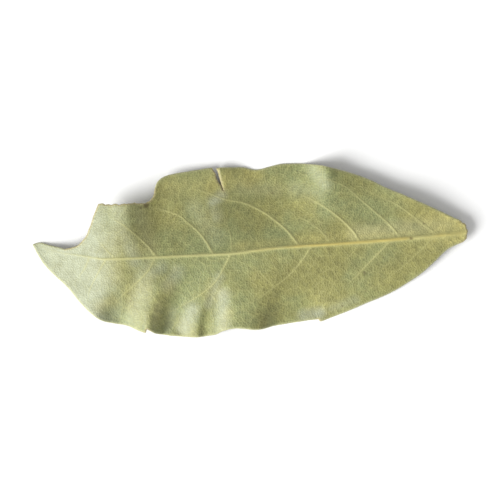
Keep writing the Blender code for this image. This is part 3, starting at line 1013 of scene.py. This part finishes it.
def underside_material(colours, groups):
    """The pale, satin underside: grey-green between straw veins, with bloom, net and specks, and
    painted highlight, light and shade in its streaks.
    """
    tree = Skin("bay_leaf_underside", groups)
    rungs = tree.rungs()
    large = tree.mottle(11.0, 0.50, 0.14)
    small = tree.mottle(2.2, 0.50, 0.22, shift=(31.0, 7.0, 3.0))
    grain = tree.mottle(0.35, 0.50, 0.30, detail=2.0, shift=(5.0, 2.0, 1.0))
    hatch = tree.mottle(0.8, 0.50, 0.25, detail=2.0, vector=rungs)
    crumbs = tree.mottle(0.6, 0.50, 0.10, shift=(3.0, 6.0, 2.0))
    coarse = tree.net(1.5, 0.12, 0.26, 0.65, rungs)
    fine = tree.net(0.54, 0.08, 0.14, 0.60)
    vein = tree.attribute("vein")
    midrib = tree.attribute("midrib")
    dullness_and_shade = tree.attribute("dullness_and_shade")
    torn = tree.attribute("torn")

    # The blade's ground colour, its bloom and yellowing, partly painted highlight and light, its dull
    # streaks, partly painted shade, and its flecks.
    colour = tree.blend(tree.mix(large, 0.12, 0.88), colours.underside, colours.olive)
    # Bloom: pale waxy bloom, partly painted sheen and highlight.
    bloom_and_highlight = tree.product(tree.attribute("bloom_and_highlight"), tree.mix(small, 0.76, 1.03),
                         tree.mix(dullness_and_shade, 1.0, 0.35))
    colour = tree.blend(bloom_and_highlight, colour, colours.bloom_and_highlight)
    # Yellowing: partly real, partly painted light on shaded flanks.
    yellow_and_painted_light = tree.product(tree.attribute("yellowing_and_painted_light"), tree.mix(small, 0.60, 0.96))
    colour = tree.blend(yellow_and_painted_light, colour, colours.base)
    fleck = tree.product(tree.mix(grain, 0.84, 1.12), tree.mix(fine["Cells"], 0.90, 1.08),
                         tree.mix(hatch, 0.86, 1.13))
    # The dull streaks darken it here: partly duller tissue, partly painted shade.
    shade = tree.product(tree.mix(small, 0.92, 1.06),
                         tree.mix(torn, 1.0, tree.mix(crumbs, 0.80, 1.18)),
                         tree.mix(dullness_and_shade, 1.0, 0.72),
                         tree.mix(tree.product(bloom_and_highlight, 0.7), fleck, 1.0))
    colour = tree.shaded(colour, shade)

    # The net, and the straw veins with fibres along the midrib.
    lines = tree.largest(tree.product(coarse["Lines"], 0.32), tree.product(fine["Lines"], 0.30))
    lines = tree.largest(tree.product(lines, tree.mix(bloom_and_highlight, 1.0, 0.4)),
                         tree.product(tree.attribute("halo"), 0.30))
    colour = tree.blend(lines, colour, colours.vein)
    fibre = tree.noise(tree.vector("MULTIPLY", tree.place, FIBRE_SCALE), 1.0, 3.0, 0.6)
    fibre = tree.step(fibre, 0.35, 0.65)
    x = tree.add("ShaderNodeSeparateXYZ", Vector=tree.plan).outputs["X"]
    amber = tree.product(tree.mottle(9.0, 0.55, 0.12), tree.step(x, -4.0, 12.0))
    straw = tree.blend(tree.product(midrib, amber), colours.vein, colours.midrib)
    grooves = tree.product(tree.mix(tree.product(midrib, 0.22), 1.0, fibre),
                           tree.mix(midrib, 1.0, 1.075))
    colour = tree.blend(vein, colour, tree.shaded(straw, grooves))

    # The rim, the torn edges and the specks, two of them painted shade in the pits of a crumple.
    gap = tree.product(tree.attribute("edge_gap"), 1.0 / MM)
    rim = tree.product(tree.step(gap, 0.38, 0.10), tree.math("SUBTRACT", 1.0, torn),
                       tree.mix(bloom_and_highlight, 0.45, 0.25))
    colour = tree.blend(rim, colour, colours.rim)
    ragged_edge = tree.product(tree.step(gap, 0.5, 0.0), torn)
    colour = tree.blend(tree.product(ragged_edge, 0.7), colour, colours.torn)
    dots = tree.mottle(0.7, 0.235, 0.015, detail=0.0, shift=(2.0, 9.0, 4.0))
    dots = tree.largest(tree.product(dots, 0.30, tree.mottle(9.0, 0.40, 0.1)),
                        tree.product(tree.attribute("speck_and_pit_shade"), 0.7))
    colour = tree.blend(dots, colour, colours.speck_and_pit_shade)

    tree.shader["Specular IOR Level"].default_value = 0.35
    roughness = tree.total(tree.mix(small, 0.48, 0.58), tree.product(lines, 0.2))
    net = tree.total(tree.product(coarse["Ridges"], 0.7), fine["Ridges"], tree.product(grain, 0.5))
    net = tree.product(net, tree.mix(tree.largest(vein, midrib), 1.0, 0.1))
    strands = tree.product(fibre, tree.product(midrib, 0.9))
    return tree.finish(colour, roughness, 0.00003, tree.total(net, strands))


def upper_side_material(colours, groups):
    """The upper side, which lies on the table: darker, glossier, with a finer net."""
    tree = Skin("bay_leaf_upper_side", groups)
    large = tree.mottle(9.0, 0.45, 0.14, shift=(80.0, 0.0, 0.0))
    small = tree.mottle(1.8, 0.50, 0.22, shift=(12.0, 40.0, 3.0))
    coarse = tree.net(1.6, 0.13, 0.28, 0.65, tree.rungs())
    fine = tree.net(0.55, 0.08, 0.20, 0.60)
    colour = tree.blend(large, colours.upper, colours.olive)
    colour = tree.shaded(colour, tree.mix(small, 0.88, 1.08))
    lines = tree.largest(tree.product(coarse["Lines"], 0.25), tree.product(fine["Lines"], 0.15))
    colour = tree.blend(lines, colour, colours.upper_vein)
    colour = tree.blend(tree.product(tree.attribute("vein"), 0.7), colour, colours.upper_vein)
    gap = tree.product(tree.attribute("edge_gap"), 1.0 / MM)
    rim = tree.product(tree.step(gap, 0.55, 0.15), 0.7)
    colour = tree.blend(rim, colour, colours.rim)
    bump = tree.total(tree.product(fine["Lines"], 0.8), coarse["Lines"])
    return tree.finish(colour, tree.mix(small, 0.30, 0.42), 0.00002, bump)


def edge_material(colours, groups):
    """The thin edge all round: pale gristle, and tan broken tissue where it is torn."""
    tree = Skin("bay_leaf_edge", groups)
    small = tree.mottle(0.8, 0.50, 0.20)
    colour = tree.blend(tree.attribute("torn"), colours.rim, colours.torn)
    colour = tree.shaded(colour, tree.mix(small, 0.82, 1.10))
    return tree.finish(colour, tree.mix(small, 0.50, 0.70), 0.00002, small)


def table_material(stage):
    """The pale table, with the faintest unevenness."""
    tree = Surface("pale_table")
    darker = [channel * 0.985 for channel in stage.table]
    colour = tree.blend(tree.noise(tree.place, 6.0, 2.0), darker, stage.table)
    tree.feed(tree.shader["Base Color"], colour)
    tree.shader["Roughness"].default_value = 0.8
    tree.shader["Specular IOR Level"].default_value = 0.2
    return tree.material


# ---- Operators ----

class BAYLEAF_OT_grow_leaf(bpy.types.Operator):
    """Grow the bay leaf: outline, waves, thickness, veins and materials"""
    bl_idname = "bayleaf.grow_leaf"
    bl_label = "Grow Leaf"

    def execute(self, context):
        sizes = context.scene.leaf_sizes
        colours = context.scene.leaf_colours
        groups = {"net": net_group(), "rungs": rung_group(), "mottle": mottle_group()}
        paths = vein_paths(sizes)
        veins = build_vein_object(paths)
        blade = bpy.data.objects.new(PIECE_NAME, build_flat_blade(sizes, paths))
        context.scene.collection.objects.link(blade)
        relief = blade.modifiers.new("Relief", "NODES")
        relief.node_group = leaf_relief_tree()
        makers = (underside_material, upper_side_material, edge_material)
        inputs = {"Vein Paths": veins, "Seed": float(sizes.seed)}
        inputs |= {name: getattr(sizes, name.lower().replace(" ", "_")) for name in RELIEF_LENGTHS}
        inputs |= {name: make(colours, groups) for name, make in zip(SKINS, makers)}
        set_modifier_inputs(relief, inputs)
        grown = blade.evaluated_get(context.evaluated_depsgraph_get())
        mesh = bpy.data.meshes.new_from_object(grown)
        blade.modifiers.remove(relief)
        blade.data = mesh
        bpy.data.objects.remove(veins, do_unlink=True)
        centre_over(blade, LEAF_LOW, LEAF_HIGH)
        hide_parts("bay_leaf")
        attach(blade, "root")
        return {"FINISHED"}


def centre_over(piece, low, high):
    """Moves a piece's mesh so that its box has the same middle in plan as the given one."""
    places = [vert.co for vert in piece.data.vertices]
    shift = Vector((0.0, 0.0, 0.0))
    for axis in (0, 1):
        values = [place[axis] for place in places]
        shift[axis] = (low[axis] + high[axis]) / 2 - (min(values) + max(values)) / 2
    piece.data.transform(Matrix.Translation(shift))


class BAYLEAF_OT_set_stage(bpy.types.Operator):
    """Lay the pale table, hang the soft lights and place the camera above the leaf"""
    bl_idname = "bayleaf.set_stage"
    bl_label = "Set Stage"

    def execute(self, context):
        scene = context.scene
        stage = scene.stage_look
        scene.view_settings.view_transform = "Standard"
        add_table(scene, stage)
        add_lights(scene, stage)
        add_camera(scene, stage)
        return {"FINISHED"}


def add_table(scene, stage):
    """A wide flat table under the leaf."""
    mesh = bpy.data.meshes.new("table")
    reach = 3.0
    corners = [(x * reach, y * reach, 0.0) for x, y in ((-1, -1), (1, -1), (1, 1), (-1, 1))]
    mesh.from_pydata(corners, [], [(0, 1, 2, 3)])
    mesh.materials.append(table_material(stage))
    table = bpy.data.objects.new("table", mesh)
    scene.collection.objects.link(table)


def aim(thing, place, target):
    """Puts a lamp at a place, pointing at the target."""
    thing.location = place
    thing.rotation_euler = (Vector(target) - Vector(place)).to_track_quat("-Z", "Y").to_euler()


def add_lights(scene, stage):
    """One large soft key lamp from the tip's near side, and an even pale sky."""
    lamp = bpy.data.lights.new("key_lamp", "AREA")
    lamp.shape = "RECTANGLE"
    lamp.size = lamp.size_y = 0.9
    lamp.energy = stage.key_power
    key = bpy.data.objects.new("key_lamp", lamp)
    scene.collection.objects.link(key)
    aim(key, (-1.15, -0.58, 0.78), (0.0, 0.0, 0.0))
    world = bpy.data.worlds.new("pale_sky")
    world.use_nodes = True
    sky = world.node_tree.nodes["Background"]
    sky.inputs["Color"].default_value = (1.0, 1.0, 1.0, 1.0)
    sky.inputs["Strength"].default_value = stage.sky_strength
    scene.world = world


def add_camera(scene, stage):
    """A long lens straight above the leaf, which lies a little askew in the frame."""
    camera = bpy.data.cameras.new("camera")
    camera.lens = 100.0
    camera.sensor_width = 36.0
    height = stage.frame_width * camera.lens / camera.sensor_width
    camera.clip_start = 0.01
    camera.clip_end = 10.0
    eye = bpy.data.objects.new("camera", camera)
    scene.collection.objects.link(eye)
    middle = (LEAF_LOW + LEAF_HIGH) / 2
    askew = math.radians(2.2)
    eye.location = (middle.x, middle.y, height)
    eye.rotation_euler = (0.0, 0.0, -askew)
    scene.camera = eye


class BAYLEAF_PT_panel(bpy.types.Panel):
    """The leaf's sizes and colours, and the buttons that make it"""
    bl_idname = "BAYLEAF_PT_panel"
    bl_label = "Bay Leaf"
    bl_space_type = "VIEW_3D"
    bl_region_type = "UI"
    bl_category = "Bay Leaf"

    def draw(self, context):
        layout = self.layout
        scene = context.scene
        for title, settings, operator in (
            ("Leaf", scene.leaf_sizes, BAYLEAF_OT_grow_leaf),
            ("Colours", scene.leaf_colours, None),
            ("Stage", scene.stage_look, BAYLEAF_OT_set_stage),
        ):
            box = layout.box()
            box.label(text=title)
            for name in settings.__annotations__:
                box.prop(settings, name)
            if operator:
                box.operator(operator.bl_idname)


CLASSES = (
    LeafSizes, LeafColours, StageLook,
    BAYLEAF_OT_grow_leaf, BAYLEAF_OT_set_stage, BAYLEAF_PT_panel,
)


def register():
    """Registers the classes and hangs the settings on the scene."""
    for kind in CLASSES:
        bpy.utils.register_class(kind)
    bpy.types.Scene.leaf_sizes = PointerProperty(type=LeafSizes)
    bpy.types.Scene.leaf_colours = PointerProperty(type=LeafColours)
    bpy.types.Scene.stage_look = PointerProperty(type=StageLook)


def unregister():
    """Takes the settings and classes away again."""
    del bpy.types.Scene.stage_look
    del bpy.types.Scene.leaf_colours
    del bpy.types.Scene.leaf_sizes
    for kind in reversed(CLASSES):
        bpy.utils.unregister_class(kind)


def main():
    """Makes the leaf and its stage."""
    register()
    bpy.ops.bayleaf.set_stage()
    bpy.ops.bayleaf.grow_leaf()


if __name__ == "__main__":
    main()
